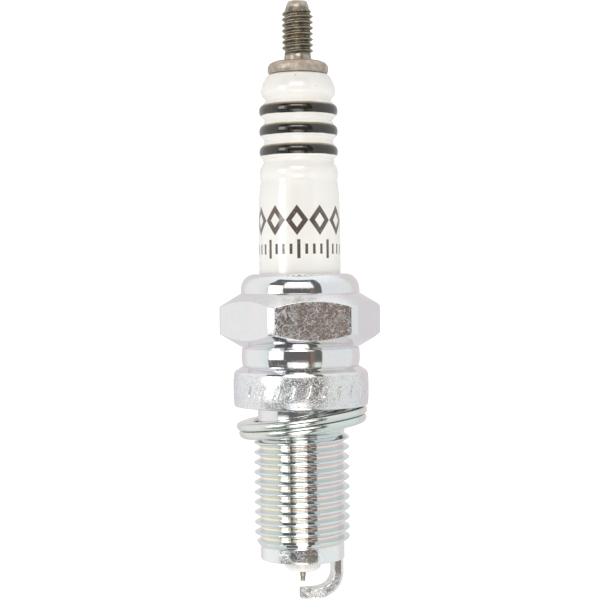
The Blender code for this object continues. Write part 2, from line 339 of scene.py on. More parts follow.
def plated(name, base=PLATE_BASE, rough=(0.03, 0.06), grain=0.05, scratch=0.2, frost=0.0, edge=ROSE_EDGE):
    """Bright zinc plate: a faint coloured film, fine grain and hairline scratches.

    frost adds a sanded, sparkling grain.
    """
    n = Nodes(name)
    cloud = n.noise(260.0, 4.0, 0.6)
    film = n.noise(150.0, 2.0, 0.5, distortion=0.6)
    stops = [(at, tuple(b * f for b, f in zip(base, factors))) for at, *factors in FILM_TINTS]
    tint = n.colours(film, *stops)
    speck = n.span(n.noise(2600.0, 3.0, 0.65), 0.30, 0.50, 0.96 - 0.14 * frost, 1.0)
    shade = n.math("MULTIPLY", n.span(cloud, 0.35, 0.68, 0.98, 1.0), speck)
    n.set(Base_Color=n.mix(1.0, tint, n.mix(shade, (0.0, 0.0, 0.0), (1.0, 1.0, 1.0)), "MULTIPLY"))
    n.set(Metallic=1.0, Specular_Tint=(*edge, 1.0))
    hair = n.noise(700.0, 1.0, 0.4, vector=n.scaled(9.0, 1.0, 3.0), distortion=0.4)
    sparse = n.span(hair, 0.66, 0.70)
    n.set(Roughness=n.math("ADD", n.span(cloud, 0.3, 0.7, *rough), n.math("MULTIPLY", sparse, 0.12)))
    first = n.bump(n.noise(5200.0, 3.0, 0.6), grain, 10 * MICRON)
    if frost:
        first = n.bump(n.noise(5600.0, 3.0, 0.8), frost * 0.7, 22 * MICRON, first)
        first = n.bump(n.span(n.noise(6500.0, 2.0, 0.6), 0.54, 0.66), frost, 26 * MICRON, first)
    n.set(Normal=n.bump(sparse, scratch, 6 * MICRON, first))
    return n.material


# The tangle's layers of scuffs: (noise scale, distortion)
SCUFF_LAYERS = ((300.0, 1.6), (470.0, 1.3), (720.0, 1.1), (1100.0, 0.9), (1700.0, 0.6))


def scuffed(name, clean, depth, haziness):
    """Bright plate under a tangle of fine pale scuffs of a depth, with hazy patches between them."""
    n = Nodes(name)
    tangle = None
    for scale, twist in SCUFF_LAYERS:
        off = n.math("ABSOLUTE", n.math("SUBTRACT", n.noise(scale, 1.0, 0.5, distortion=twist), 0.5))
        width = 0.011 + scale * 0.000016
        line = n.span(off, width * 0.2, width, 1.0, 0.0)
        broken = n.noise(scale * 1.7, 2.0, 0.6, vector=n.scaled(1.0, 1.3, -0.9))
        line = n.math("MULTIPLY", line, n.span(broken, 0.36, 0.54))
        tangle = line if tangle is None else n.math("MAXIMUM", tangle, line)
    haze = n.span(n.noise(700.0, 6.0, 0.75), 0.42, 0.66)
    worn = n.math("MAXIMUM", n.math("MULTIPLY", tangle, depth), n.math("MULTIPLY", haze, haziness))
    n.set(Base_Color=n.mix(worn, clean, (0.82, 0.83, 0.83)))
    n.set(Metallic=1.0, Specular_Tint=(*ROSE_EDGE, 1.0))
    n.set(Roughness=n.math("MULTIPLY_ADD", worn, 0.46, 0.08, clamp=True))
    first = n.bump(n.noise(4200.0, 3.0, 0.6), 0.15, 8 * MICRON)
    n.set(Normal=n.bump(tangle, 0.2, 8 * MICRON, first))
    return n.material


def plain_metal(name, colour, dark, rough, scale=900.0):
    """Drawn or turned metal with a mottled colour and fine grain."""
    n = Nodes(name)
    cloud = n.noise(scale, 4.0, 0.6)
    n.set(Base_Color=n.colours(cloud, (0.34, dark), (0.66, colour)))
    n.set(Metallic=1.0, Roughness=n.span(cloud, 0.3, 0.7, rough * 0.85, rough * 1.25))
    n.set(Normal=n.bump(n.noise(scale * 9, 2.0, 0.6), 0.3, 8 * MICRON))
    return n.material


def sheared_strip():
    """The ground strap: bright nickel strip, torn to a sparkle where it was bent, grimy at its cut end."""
    n = Nodes("nickel_strap")
    split, z = height_mm(n)
    torn = n.math("MULTIPLY", n.span(n.noise(1700.0, 4.0, 0.7), 0.46, 0.56), n.span(z, -20.6, -21.9))
    cut = n.span(split.outputs["X"], 0.0017, 0.0006)
    grime = n.span(n.noise(1300.0, 3.0, 0.7), 0.40, 0.56)
    grime = n.math("MULTIPLY", grime, n.math("MULTIPLY_ADD", cut, 0.62, 0.06))
    rusty = n.noise(420.0, 2.0, 0.5)
    bright = n.colours(rusty, (0.35, (0.88, 0.87, 0.84)), (0.62, (0.91, 0.91, 0.90)))
    bright = n.mix(n.math("MULTIPLY", torn, 0.45), bright, (0.50, 0.50, 0.50))
    n.set(Base_Color=n.mix(grime, bright, (0.20, 0.20, 0.205)))
    n.set(Metallic=1.0, Roughness=n.math("MULTIPLY_ADD", torn, 0.12, n.span(z, -20.4, -21.8, 0.14, 0.22)))
    first = n.bump(n.noise(3200.0, 3.0, 0.6), 0.35, 14 * MICRON)
    n.set(Normal=n.bump(torn, 0.4, 30 * MICRON, first))
    return n.material


def powder(name, colour, dark, rough, scale=2500.0):
    """Pressed or fired powder: speckled and matt."""
    n = Nodes(name)
    speck = n.noise(scale, 5.0, 0.7)
    n.set(Base_Color=n.colours(speck, (0.38, dark), (0.60, colour)))
    n.set(Roughness=n.span(speck, 0.3, 0.7, rough * 0.9, min(1.0, rough * 1.1)))
    n.set(Normal=n.bump(speck, 0.5, 30 * MICRON))
    return n.material


def height_mm(n):
    """The place on the object split into X, Y and Z, and the height above the seat in millimetres."""
    split = n.add("ShaderNodeSeparateXYZ")
    n.join(n.place, split.inputs["Vector"])
    return split, n.math("MULTIPLY", split.outputs["Z"], 1000.0)


def from_axis(n, split):
    """Distance from the plug's axis in metres, as a node output."""
    squares = [n.math("MULTIPLY", split.outputs[name], split.outputs[name]) for name in "XY"]
    return n.math("SQRT", n.math("ADD", *squares))


# ---------------------------------------------------------------- finishes

BAND_HEIGHTS = (36.61, 34.13, 31.63)
BAND_HALF = 0.625
BARREL_R = 5.1
PRINT_REACH = 9.25
LOZENGE_STEP, LOZENGE_SHIFT, LOZENGE_Z = 2.9, 0.3, 22.95
TICK_STEP, TICK_SHIFT, TICK_Z = 0.96, 0.1, 19.45


def insulator_print(n, split):
    """Plain printed pattern around the barrel's front: a row of hollow lozenges over the ticks of a ruler."""
    across = n.math("ARCTAN2", split.outputs["X"], n.math("MULTIPLY", split.outputs["Y"], -1.0))
    across = n.math("MULTIPLY", across, BARREL_R)
    z = n.math("MULTIPLY", split.outputs["Z"], 1000.0)

    def beside(step, shift):
        """Distance across, in millimetres, from the nearest of a row of centres."""
        return n.math("PINGPONG", n.math("ADD", across, shift), step / 2)

    def above(middle):
        return n.math("ABSOLUTE", n.math("SUBTRACT", z, middle))

    def lozenge(half_wide, half_tall):
        wide = n.math("DIVIDE", beside(LOZENGE_STEP, LOZENGE_SHIFT), half_wide)
        tall = n.math("DIVIDE", above(LOZENGE_Z), half_tall)
        return n.span(n.math("ADD", wide, tall), 0.96, 1.04, 1.0, 0.0)

    def bar(step, half_wide, half_tall):
        wide = n.span(beside(step, TICK_SHIFT), half_wide - 0.03, half_wide + 0.03, 1.0, 0.0)
        return n.math("MULTIPLY", wide, n.span(above(TICK_Z), half_tall - 0.04, half_tall + 0.04, 1.0, 0.0))

    loops = n.math("SUBTRACT", lozenge(1.40, 1.85), lozenge(0.66, 0.90), clamp=True)
    ticks = n.math("MAXIMUM", bar(TICK_STEP, 0.17, 0.62), bar(4 * TICK_STEP, 0.20, 1.15))
    rows = n.math("MAXIMUM", loops, ticks)
    reach = n.span(n.math("ABSOLUTE", across), PRINT_REACH - 0.05, PRINT_REACH + 0.05, 1.0, 0.0)
    return n.math("MULTIPLY", rows, reach)


def glazed_insulator():
    """White glaze with painted light near the shell; a dark lustre band on each rib, with gold along its
    upper edge.
    """
    n = Nodes("glaze_white")
    split, z = height_mm(n)
    waver = n.math("MULTIPLY", n.math("SUBTRACT", n.noise(420.0, 2.0, 0.5), 0.5), 0.14)
    z = n.math("ADD", z, waver)
    dark, gold = None, None
    for centre in BAND_HEIGHTS:
        off = n.math("ABSOLUTE", n.math("SUBTRACT", z, centre))
        one = n.span(off, BAND_HALF - 0.05, BAND_HALF + 0.05, 1.0, 0.0)
        off_gold = n.math("ABSOLUTE", n.math("SUBTRACT", z, centre + BAND_HALF - 0.02))
        edge = n.span(off_gold, 0.05, 0.15, 1.0, 0.0)
        dark = one if dark is None else n.math("MAXIMUM", dark, one)
        gold = edge if gold is None else n.math("MAXIMUM", gold, edge)
    cloud = n.noise(180.0, 3.0, 0.5)
    white = n.colours(cloud, (0.3, (0.925, 0.905, 0.86)), (0.7, (0.94, 0.925, 0.89)))
    # painted light: the glaze turns lighter below 24 mm, towards the shell, to lift the shade near the rim
    white = n.mix(n.span(z, 24.0, 18.0), white, (0.975, 0.96, 0.92))
    printed = insulator_print(n, split)
    worn = n.span(n.noise(2400.0, 3.0, 0.6), 0.30, 0.42, 0.82, 0.97)
    white = n.mix(n.math("MULTIPLY", printed, worn), white, (0.085, 0.058, 0.042))
    ink = n.colours(n.noise(1500.0, 3.0, 0.6), (0.35, (0.010, 0.008, 0.005)), (0.7, (0.024, 0.018, 0.012)))
    colour = n.mix(dark, white, ink)
    colour = n.mix(n.math("MULTIPLY", gold, 0.85), colour, (0.33, 0.23, 0.09))
    flecks = n.span(n.noise(2100.0, 2.0, 0.5), 0.735, 0.76)
    flecks = n.math("MULTIPLY", flecks, n.span(z, 36.0, 39.0))
    n.set(Base_Color=n.mix(n.math("MULTIPLY", flecks, 0.6), colour, (0.42, 0.20, 0.10)))
    n.set(Roughness=n.span(n.noise(600.0, 3.0, 0.5), 0.3, 0.7, 0.05, 0.10))
    n.set(Coat_Weight=0.4, Coat_Roughness=0.03, IOR=1.55)
    n.set(Normal=n.bump(n.noise(500.0, 2.0, 0.5), 0.12, 40 * MICRON))
    return n.material


def dull_stud():
    """Terminal steel: grey olive oxide with warm flecks, turning marks and a painted gold highlight on the
    crests.
    """
    n = Nodes("stud_oxide")
    split, z = height_mm(n)
    cloud = n.noise(1300.0, 5.0, 0.65)
    base = n.colours(
        cloud,
        (0.30, (0.10, 0.088, 0.070)),
        (0.45, (0.21, 0.195, 0.165)),
        (0.58, (0.33, 0.31, 0.27)),
        (0.75, (0.44, 0.42, 0.38)),
    )
    bright = n.colours(
        cloud,
        (0.32, (0.40, 0.34, 0.28)),
        (0.50, (0.56, 0.49, 0.42)),
        (0.72, (0.68, 0.63, 0.57)),
    )
    cleaner = n.math("MULTIPLY", n.span(z, 42.60, 42.75, 1.0, 0.4), n.span(z, 43.35, 43.50, 1.0, 0.0))
    cleaner = n.math("MAXIMUM", cleaner, n.span(z, 49.1, 49.5))
    base = n.mix(n.math("MULTIPLY", cleaner, 0.85), base, bright)
    rust = n.math("ADD", n.noise(1500.0, 4.0, 0.65, distortion=0.5), n.span(z, 42.0, 42.5, 0.0, 0.05))
    rust = n.span(n.math("SUBTRACT", rust, n.span(z, 42.7, 42.9, 0.0, 0.05)), 0.55, 0.64)
    coat = n.mix(n.math("MULTIPLY", rust, n.span(z, 42.6, 42.8, 0.65, 0.35)), base, (0.62, 0.33, 0.15))
    # painted highlight: a thin gold line along the thread's crests
    crest_highlight = n.math("MULTIPLY", n.span(from_axis(n, split), 0.00183, 0.00190), n.span(z, 43.7, 43.9))
    n.set(Base_Color=n.mix(n.math("MULTIPLY", crest_highlight, 0.7), coat, (0.44, 0.38, 0.22)))
    shine = n.span(z, 42.7, 42.8, 0.14, n.span(z, 43.3, 43.5, -0.10, 0.0))
    n.set(Metallic=1.0, Roughness=n.math("ADD", n.span(cloud, 0.3, 0.7, 0.46, 0.36), shine))
    rings = n.noise(1500.0, 2.0, 0.5, vector=n.scaled(0.2, 0.2, 9.0))
    first = n.bump(n.noise(7000.0, 3.0, 0.6), 0.4, 14 * MICRON)
    n.set(Normal=n.bump(rings, 0.35, 10 * MICRON, first))
    return n.material


def film_on_thread():
    """The shell thread's plate, a film in its roots, and a painted reflection: yellow to the left, rose to
    the right.
    """
    n = Nodes("zinc_plate_thread")
    split, z = height_mm(n)
    deep = n.math("MULTIPLY", n.span(from_axis(n, split), 0.005245, 0.005222), n.span(z, -17.5, -17.2))
    # painted reflection: the root film is tinted yellow on the left (-X) and rose on the right (+X)
    reflection_side = n.span(split.outputs["X"], -0.002, 0.002)
    streak = n.noise(900.0, 2.0, 0.5, vector=n.scaled(0.5, 0.5, 2.0))
    yellow = n.mix(streak, (1.0, 0.93, 0.62), (0.98, 0.84, 0.70))
    rose = n.mix(streak, (0.95, 0.62, 0.70), (0.98, 0.82, 0.66))
    plain = n.colours(n.noise(260.0, 3.0, 0.5), (0.35, (0.75, 0.79, 0.795)), (0.65, (0.79, 0.815, 0.80)))
    n.set(Base_Color=n.mix(n.math("MULTIPLY", deep, 0.85), plain, n.mix(reflection_side, yellow, rose)))
    n.set(Metallic=1.0, Roughness=n.span(n.noise(600.0, 3.0, 0.6), 0.3, 0.7, 0.025, 0.055))
    n.set(Normal=n.bump(n.noise(2600.0, 2.0, 0.6), 0.12, 10 * MICRON))
    return n.material


PLATE = plated("zinc_plate", rough=(0.05, 0.08))
PLATE_HEX = scuffed("zinc_plate_flats", (0.80, 0.80, 0.80), 0.80, 0.55)
PLATE_END = scuffed("zinc_plate_end", (0.87, 0.90, 0.885), 0.52, 0.05)
PLATE_THREAD = film_on_thread()
PLATE_CHAMFER = plated("zinc_plate_chamfer", rough=(0.15, 0.20))
PLATE_COLLAR = plated("zinc_plate_collar", rough=(0.21, 0.26), grain=0.1, scratch=0.3, frost=0.8)
GASKET_PLATE = plated(
    "gasket_plate",
    base=(0.745, 0.79, 0.75),
    rough=(0.13, 0.20),
    grain=0.1,
    scratch=0.2,
    edge=(1.0, 0.97, 0.97),
)
STRAP = sheared_strip()
NICKEL = plain_metal("nickel_rod", (0.80, 0.80, 0.79), (0.62, 0.61, 0.59), 0.30)
IRIDIUM = plain_metal("iridium_wire", (0.50, 0.46, 0.38), (0.30, 0.25, 0.19), 0.13, 2600.0)
STUD = dull_stud()
GLAZE = glazed_insulator()


# ---------------------------------------------------------------- shell

HEX_FLAT_R, HEX_TURNED_R, HEX_CORNER_DEG = 9.0, 10.12, 10.14
COLLAR_R, COLLAR_Z, COLLAR_TOP_Z = 8.455, 2.2, 3.9
CREST_R, ROOT_R, NECK_R, PITCH = 5.97, 5.22, 5.42, 1.25
SHELL_START_DEG = 70.14
SHELL_TURNS = 12
SHELL_THREAD_Z = -5.81 - PITCH * (9 + 0.5 + (180 - SHELL_START_DEG) / 360)
# The hexagon's flats that carry no scuffs, counted from the corner at HEX_CORNER_DEG
CLEAN_FLATS = (3, 5)

# The row of strokes punched into the collar
MARK_FIRST_DEG, MARK_STEP_DEG, MARK_COUNT = -137.0, 13.3, 9
MARK_SLANT, MARK_HALF, MARK_DEPTH, MARK_RIM = 0.30, 0.50, 0.13, 0.02


def punched(angle, z):
    """Depth of the plain slanting strokes on the collar's front, each with a low rim pushed up around it."""
    place = (math.degrees(angle) + 180) % 360 - 180
    k = max(0, min(MARK_COUNT - 1, round((place - MARK_FIRST_DEG) / MARK_STEP_DEG)))
    across = math.radians(place - MARK_FIRST_DEG - k * MARK_STEP_DEG) * 8.45 - (z - COLLAR_Z) * MARK_SLANT
    along = max(0.0, abs(z - COLLAR_Z) - MARK_HALF)
    off = math.hypot(across, along)
    pushed_up = ramp(off, 0.20, 0.32) * (1 - ramp(off, 0.32, 0.48))
    return MARK_DEPTH * (1 - ramp(off, 0.03, 0.25)) - MARK_RIM * pushed_up


def shell_angles():
    """Columns for the shell, close together where the hexagon's edges and the collar's marks are."""
    half = (0.0, 1.4, 2.1, 2.6, 3.2, 4.4, 6.4, 9.4, 13.0, 17.8, 23.6)
    one_corner = sorted({-d for d in half} | set(half) | {30.0})
    found = []
    for k in range(6):
        found += [(HEX_CORNER_DEG + 60 * k + d) % 360 for d in one_corner]
    for k in range(MARK_COUNT):
        found += [MARK_FIRST_DEG + MARK_STEP_DEG * k + 0.75 * i for i in range(-4, 5)]
    found = sorted((a - SHELL_START_DEG) % 360 for a in found)
    kept = [found[0]]
    for a in found:
        if a - kept[-1] > 0.12:
            kept.append(a)
    return [math.radians(SHELL_START_DEG + a) for a in kept]


def hex_radius(angle):
    """Radius of the hexagon at an angle, its corners turned off and eased."""
    off = (math.degrees(angle) - HEX_CORNER_DEG) % 60
    off = min(off, 60 - off)
    flat = HEX_FLAT_R / math.cos(math.radians(30 - off))
    return soft_min(flat, HEX_TURNED_R, 0.012)


def shell_outside(angle):
    """Profile of the shell from the lip over the insulator down to the neck, for the column at an angle."""
    hex_r = hex_radius(angle)
    top_slope, low_slope = 0.613, 0.59
    top = rounded([(5.27, 15.70, 0), (5.27, 16.44, 0.12), (5.95, 16.44, 0)], 4)
    crimp = [(6.10, 16.40), (6.42, 16.28), (6.72, 16.08), (6.96, 15.84), (7.13, 15.58)]
    crimp += [(7.26, 15.32), (7.34, 15.06)]
    body = rounded(
        [
            (7.385, 14.86, 0),
            (7.43, 14.50, 0.3),
            (7.43, 14.02, 0.05),
            (7.62, 13.95, 0.05),
            (hex_r, 13.95 - (hex_r - 7.62) * top_slope, 0.16),
            (hex_r, 7.45 + (hex_r - 7.45) * low_slope, 0.16),
            (7.50, 7.46, 0.04),
            (7.40, 7.43, 0.02),
            (7.24, 7.40, 0.02),
            (7.24, 7.33, 0.02),
            (7.33, 7.27, 0.04),
        ],
        4,
    )
    band = smooth_through([(7.36, 7.05), (7.39, 6.6), (7.41, 6.2), (7.38, 5.7), (7.33, 5.30)], 3)
    foot = rounded(
        [
            (7.31, 5.14, 0),
            (7.21, 5.09, 0.02),
            (7.21, 5.01, 0.02),
            (7.34, 4.97, 0.03),
            (8.26, 4.38, 0.16),
            (8.37, 4.10, 0),
        ],
        4,
    )
    heights = [COLLAR_TOP_Z - 0.11 * i for i in range(29)]
    collar = [(COLLAR_R - 0.0075 * (z - COLLAR_Z) ** 4 - punched(angle, z), z) for z in heights]
    seat = [(8.385, 0.55, 0), (8.36, 0.0, 0.42), (5.62, 0.0, 0.10), (5.44, -0.35, 0.15), (NECK_R, -1.2, 0)]
    return top + smooth_through(crimp, 3) + body + band + foot + collar + rounded(seat, 5)


def shell_thread_radius(turn, high, z):
    """Radius of the shell's thread: cut back by the lead-in below and run out under the neck."""
    climbed = (z - SHELL_THREAD_Z) / PITCH
    base = ROOT_R + (NECK_R - ROOT_R) * ramp(climbed, 11.4, 12.0)
    fade = ramp(turn, 0.02, 0.22) * (1 - ramp(turn, 11.55, 11.8))
    r = base + (CREST_R - base) * high * fade
    lead_in = 5.22 + 0.55 * (z + 17.78)
    return soft_min(r, max(lead_in, 5.25), 0.01) if z < -15.5 else r


# The shell's finishes, by slot
SHELL_FINISHES = [PLATE, PLATE_HEX, PLATE_THREAD, PLATE_COLLAR, PLATE_END, PLATE_CHAMFER]
ON_HEX, ON_THREAD, ON_COLLAR, ON_END, ON_CHAMFER = range(1, 6)


def shell_slot(corners, all_on_hex):
    """Slot of a face above the thread, from its corners."""
    x, y, _ = corners[0]
    heights = [z for _, _, z in corners]
    if all_on_hex:
        turned = math.degrees(math.atan2(y, x)) - HEX_CORNER_DEG + 0.01
        return 0 if turned % 360 // 60 in CLEAN_FLATS else ON_HEX
    if 12.3 < min(heights) and max(heights) < 13.96 and math.hypot(x, y) > 7.6:
        return ON_CHAMFER
    if 0.2 < min(heights) and max(heights) < 4.2 and math.hypot(x, y) > 8.2:
        return ON_COLLAR
    return 0


def on_plain_end(corners):
    """Whether a face belongs to the plain end below the thread."""
    heights = [z for _, _, z in corners]
    radii = [math.hypot(x, y) for x, y, _ in corners]
    return min(heights) < -17.7 and max(heights) < -16.7 and min(radii) > 4.8 and max(radii) < 5.28


def make_shell():
    b = Build(shell_angles())
    inside = [
        (5.25, SHELL_THREAD_Z - CLOSING_STEP, 0),
        (5.25, -18.85, 0.1),
        (5.25, -19.15, 0.28),
        (3.75, -19.15, 0.16),
        (3.75, -11.2, 0.1),
        (3.05, -10.4, 0.1),
        (3.05, -8.9, 0.05),
        (4.05, -8.2, 0.05),
        (4.05, 3.4, 0.05),
        (6.05, 4.7, 0.1),
        (6.25, 5.0, 0.1),
        (6.25, 14.6, 0.1),
        (5.75, 15.4, 0.1),
        (5.32, 15.62, 0),
    ]
    rings = [b.ring(p) for p in rounded(inside, 4)]
    foot = rings[0]
    columns = [shell_outside(a) for a in b.angles]
    for row in zip(*columns):
        rings.append(b.ring(list(row)))
    on_hex = [abs(math.hypot(x, y) - hex_radius(math.atan2(y, x))) < 0.02 for x, y, _ in b.verts]
    b.skin(rings, downwards=True)
    for i, corners in enumerate(b.faces):
        b.slots[i] = shell_slot([b.verts[k] for k in corners], all(on_hex[k] for k in corners))
    top = wind_thread(b, foot, SHELL_THREAD_Z, PITCH, SHELL_TURNS, shell_thread_radius, ON_THREAD)
    for i, corners in enumerate(b.faces):
        if on_plain_end([b.verts[k] for k in corners]):
            b.slots[i] = ON_END
    b.bridge(top, rings[-1])
    return b.finish("shell_plated", SHELL_FINISHES, 50)


# ---------------------------------------------------------------- insulator


def make_insulator():
    b = Build(even_angles(120))
    head = [(3.72, 41.0), (3.95, 40.80), (4.18, 40.42), (4.38, 40.0), (4.54, 39.55), (4.62, 39.1)]
    head += [(4.62, 38.75), (4.52, 38.48), (4.28, 38.22), (4.07, 37.95), (4.07, 37.72)]
    ribs = []
    for z, top_r, low_r in ((36.57, 4.14, 4.20), (34.05, 4.20, 4.26), (31.52, 4.26, 4.38)):
        ribs += [(top_r + 0.10, z + 1.08), (4.42, z + 0.86), (4.68, z + 0.62), (4.84, z + 0.35), (4.89, z)]
        ribs += [(4.84, z - 0.35), (4.68, z - 0.62), (4.42, z - 0.86), (low_r + 0.08, z - 1.06)]
        ribs += [(low_r, z - 1.25)]
    barrel = [(4.50, 30.0), (4.70, 29.65), (4.84, 29.25), (4.90, 28.75), (4.86, 28.4), (4.79, 28.0)]
    barrel += [(4.82, 27.65), (4.89, 27.25), (4.95, 26.7), (5.00, 25.9), (5.04, 24.8), (5.07, 23.6)]
    barrel += [(5.09, 22.0), (5.10, 20.0), (5.10, 17.5), (5.10, 15.0), (5.10, 11.4)]
    inside = [(5.10, 11.38), (5.85, 10.6), (5.95, 10.2), (5.95, 5.4), (5.6, 4.95), (3.95, 3.95), (3.85, 3.4)]
    inside += [(3.85, -7.85), (2.90, -8.55), (2.85, -9.9), (2.62, -14.0), (2.38, -18.4)]
    quarter = [math.pi / 24 * i for i in range(13)]
    nose = [(1.24 + 1.01 * math.cos(a), -20.11 - 0.66 * math.sin(a)) for a in quarter]
    bore = [(1.20, -7.2), (1.95, -6.4), (1.95, 40.9)]
    profile = smooth_through(head + ribs + barrel, 4) + inside + nose + bore
    rings = [b.ring(p) for p in profile]
    b.skin(rings, downwards=True)
    b.bridge(rings[0], rings[-1])
    return b.finish("insulator_glazed", [GLAZE], 40)


# ---------------------------------------------------------------- terminal

STUD_CREST_R, STUD_ROOT_R, STUD_PITCH = 1.92, 1.56, 0.7
STUD_NECK_R, STUD_TOP_Z, STUD_FOOT_Z = 1.68, 50.09, 10.2
STUD_START_DEG = 90.0
STUD_TURNS = 8
STUD_THREAD_Z = 47.88 - STUD_PITCH * (6 + 0.5 + (180 - STUD_START_DEG) / 360)


def stud_thread_radius(turn, high, z):
    """Radius of the terminal's thread: run out into the neck below and cut back by the lead-in above."""
    base = STUD_ROOT_R + (STUD_NECK_R - STUD_ROOT_R) * (1 - ramp(z, 43.2, 43.8))
    fade = ramp(turn, 0.1, 0.7)
    r = base + (STUD_CREST_R - base) * high * fade
    lead_in = 1.46 + (49.15 - z) * 0.75
    return soft_min(r, max(lead_in, 1.40), 0.01)


def make_stud():
    b = Build(even_angles(72, STUD_START_DEG))
    down = rounded(
        [
            (STUD_NECK_R, STUD_THREAD_Z - CLOSING_STEP, 0),
            (STUD_NECK_R, 42.74, 0.10),
            (2.35, 42.68, 0.12),
            (3.02, 42.63, 0.10),
            (3.48, 42.42, 0.18),
            (3.74, 42.02, 0.22),
            (3.77, 41.50, 0.22),
            (3.60, 41.10, 0.16),
            (2.6, 41.05, 0.05),
            (1.7, 41.05, 0.05),
            (1.7, 13.0, 0.1),
            (1.45, 12.6, 0.05),
            (1.45, 10.5, 0.1),
            (1.2, STUD_FOOT_Z, 0.05),
            (0.4, STUD_FOOT_Z, 0),
        ],
        4,
    )
    rings = [b.ring(p) for p in down]
    b.skin(rings, downwards=True)
    b.cap(rings[-1], b.pole(STUD_FOOT_Z), flip=True)
    top = wind_thread(b, rings[0], STUD_THREAD_Z, STUD_PITCH, STUD_TURNS, stud_thread_radius)
    start = b.verts[top[0]][2]
    dog_point = rounded(
        [
            (1.40, start + 0.01, 0),
            (1.36, start + 0.16, 0.05),
            (1.19, STUD_TOP_Z - 0.10, 0.05),
            (1.12, STUD_TOP_Z, 0.04),
            (0.3, STUD_TOP_Z, 0),
        ],
        4,
    )
    tops = [top] + [b.ring(p) for p in dog_point]
    b.skin(tops)
    b.cap(tops[-1], b.pole(STUD_TOP_Z))
    return b.finish("terminal_stud_turned", [STUD], 42)


# ---------------------------------------------------------------- firing end


def make_centre_electrode():
    """The headed rod, with the deep hole that holds the copper core."""
    b = Build(even_angles(48))
    down = rounded(
        [
            (0.7, -5.2, 0),
            (1.7, -5.2, 0.1),
            (1.7, -6.45, 0.05),
            (1.15, -7.1, 0.05),
            (1.15, -20.45, 0.08),
            (1.02, -20.58, 0.04),
            (0.52, -20.70, 0.05),
            (0.12, -20.70, 0),
        ],
        3,
    )
    rings = [b.ring(p) for p in down]
    b.skin(rings, downwards=True)
    b.cap(rings[-1], b.pole(-20.70), flip=True)
    core_hole = [b.ring(p) for p in ((0.7, -18.7), (0.1, -19.05))]
    b.skin([rings[0]] + core_hole)
    b.cap(core_hole[1], b.pole(-19.05), flip=True)
    return b.finish("centre_electrode_turned", [NICKEL], 40)


def make_tip():
    """The fine wire and the little cone of weld that holds it."""
    b = Build(even_angles(40))
    down = rounded(
        [
            (0.08, -20.72, 0),
            (0.42, -20.72, 0.03),
            (0.40, -21.00, 0.08),
            (0.35, -21.35, 0.12),
            (0.29, -21.60, 0.05),
            (0.28, -22.10, 0.05),
            (0.08, -22.10, 0),
        ],
        3,
    )
    rings = [b.ring(p) for p in down]
    b.cap(rings[0], b.pole(-20.72))
    b.skin(rings, downwards=True)
    b.cap(rings[-1], b.pole(-22.10), flip=True)
    return b.finish("iridium_tip_wire", [IRIDIUM], 40)


STRAP_DEG, STRAP_HALF, STRAP_TIP_HALF, STRAP_THICK = 13.0, 1.15, 0.60, 1.25
STRAP_OUTER, STRAP_BEND, STRAP_TOP_Z, STRAP_END, STRAP_CUT = 5.05, 2.0, -23.0, -0.22, 2.65
STRAP_ROOT_Z, STRAP_EDGE, STRAP_CUT_EDGE, CORNER_STEPS, CORNER_SUPPORT = -19.2, 0.22, 0.35, 4, 0.06
OUTER_EDGE, INNER_EDGE = 1.75, 0.9


def make_strap():
    """The ground strap: a rolled strip with eased edges, swept along its J and cut to a taper."""
    inner = STRAP_OUTER - STRAP_THICK
    bend_x, bend_z = inner - STRAP_BEND, STRAP_TOP_Z + STRAP_BEND
    stations = [(inner, STRAP_ROOT_Z + (bend_z - STRAP_ROOT_Z) * i / 4, 0.0) for i in range(4)]
    for i in range(17):
        a = math.pi / 2 * i / 16
        stations.append((bend_x + STRAP_BEND * math.cos(a), bend_z - STRAP_BEND * math.sin(a), a))
    for i in range(1, 9):
        stations.append((bend_x + (STRAP_END - bend_x) * i / 8, STRAP_TOP_Z, math.pi / 2))

    rows = []
    for x, z, a in stations:
        full = min(1.0, max(0.0, (x - STRAP_END) / STRAP_CUT))
        half = STRAP_TIP_HALF + (STRAP_HALF - STRAP_TIP_HALF) * full
        outward = Vector((math.cos(a), 0, -math.sin(a)))
        row = []
        edge = STRAP_EDGE * (STRAP_CUT_EDGE if full < 1 else 1.0)
        corners = ((half, STRAP_THICK, 0), (-half, STRAP_THICK, 90), (-half, 0, 180), (half, 0, 270))
        for cu, cv, first in corners:
            su, sv = (1 if cu > 0 else -1), (1 if cv > 0 else -1)
            e = edge * (OUTER_EDGE if cv else INNER_EDGE)
            # one support point before the corner's arc and one after it keep the faces' shading flat
            for k in range(-1, CORNER_STEPS + 2):
                t = math.radians(first + 90 * min(max(k, 0), CORNER_STEPS) / CORNER_STEPS)
                slide = CORNER_SUPPORT * ((k > CORNER_STEPS) - (k < 0))
                u = cu - su * e + e * math.cos(t) - slide * math.sin(t)
                v = cv - sv * e + e * math.sin(t) + slide * math.cos(t)
                row.append(Vector((x, 0, z)) + outward * v + Vector((0, u, 0)))
        rows.append(row)
    # the free end is eased too
    last = rows[-1]
    middle = sum(last, Vector()) / len(last)
    for grow, push in ((0.97, 0.05), (0.90, 0.09), (0.80, 0.105)):
        rows.append([middle + (p - middle) * grow + Vector((-push, 0, 0)) for p in last])
    turn = Matrix.Rotation(math.radians(STRAP_DEG), 3, "Z")
    b = Build([0.0])
    rings = []
    for row in rows:
        first = len(b.verts)
        b.verts += [tuple(turn @ p) for p in row]
        rings.append(list(range(first, len(b.verts))))
    b.skin(rings)
    b.face(rings[0][::-1])
    b.face(rings[-1])
    return b.finish("ground_strap", [STRAP], 40)


# ---------------------------------------------------------------- gasket

GASKET_ROLL_R, GASKET_ROLL, GASKET_TILT_DEG, GASKET_GAP = 7.72, 0.48, -7.4, 0.05


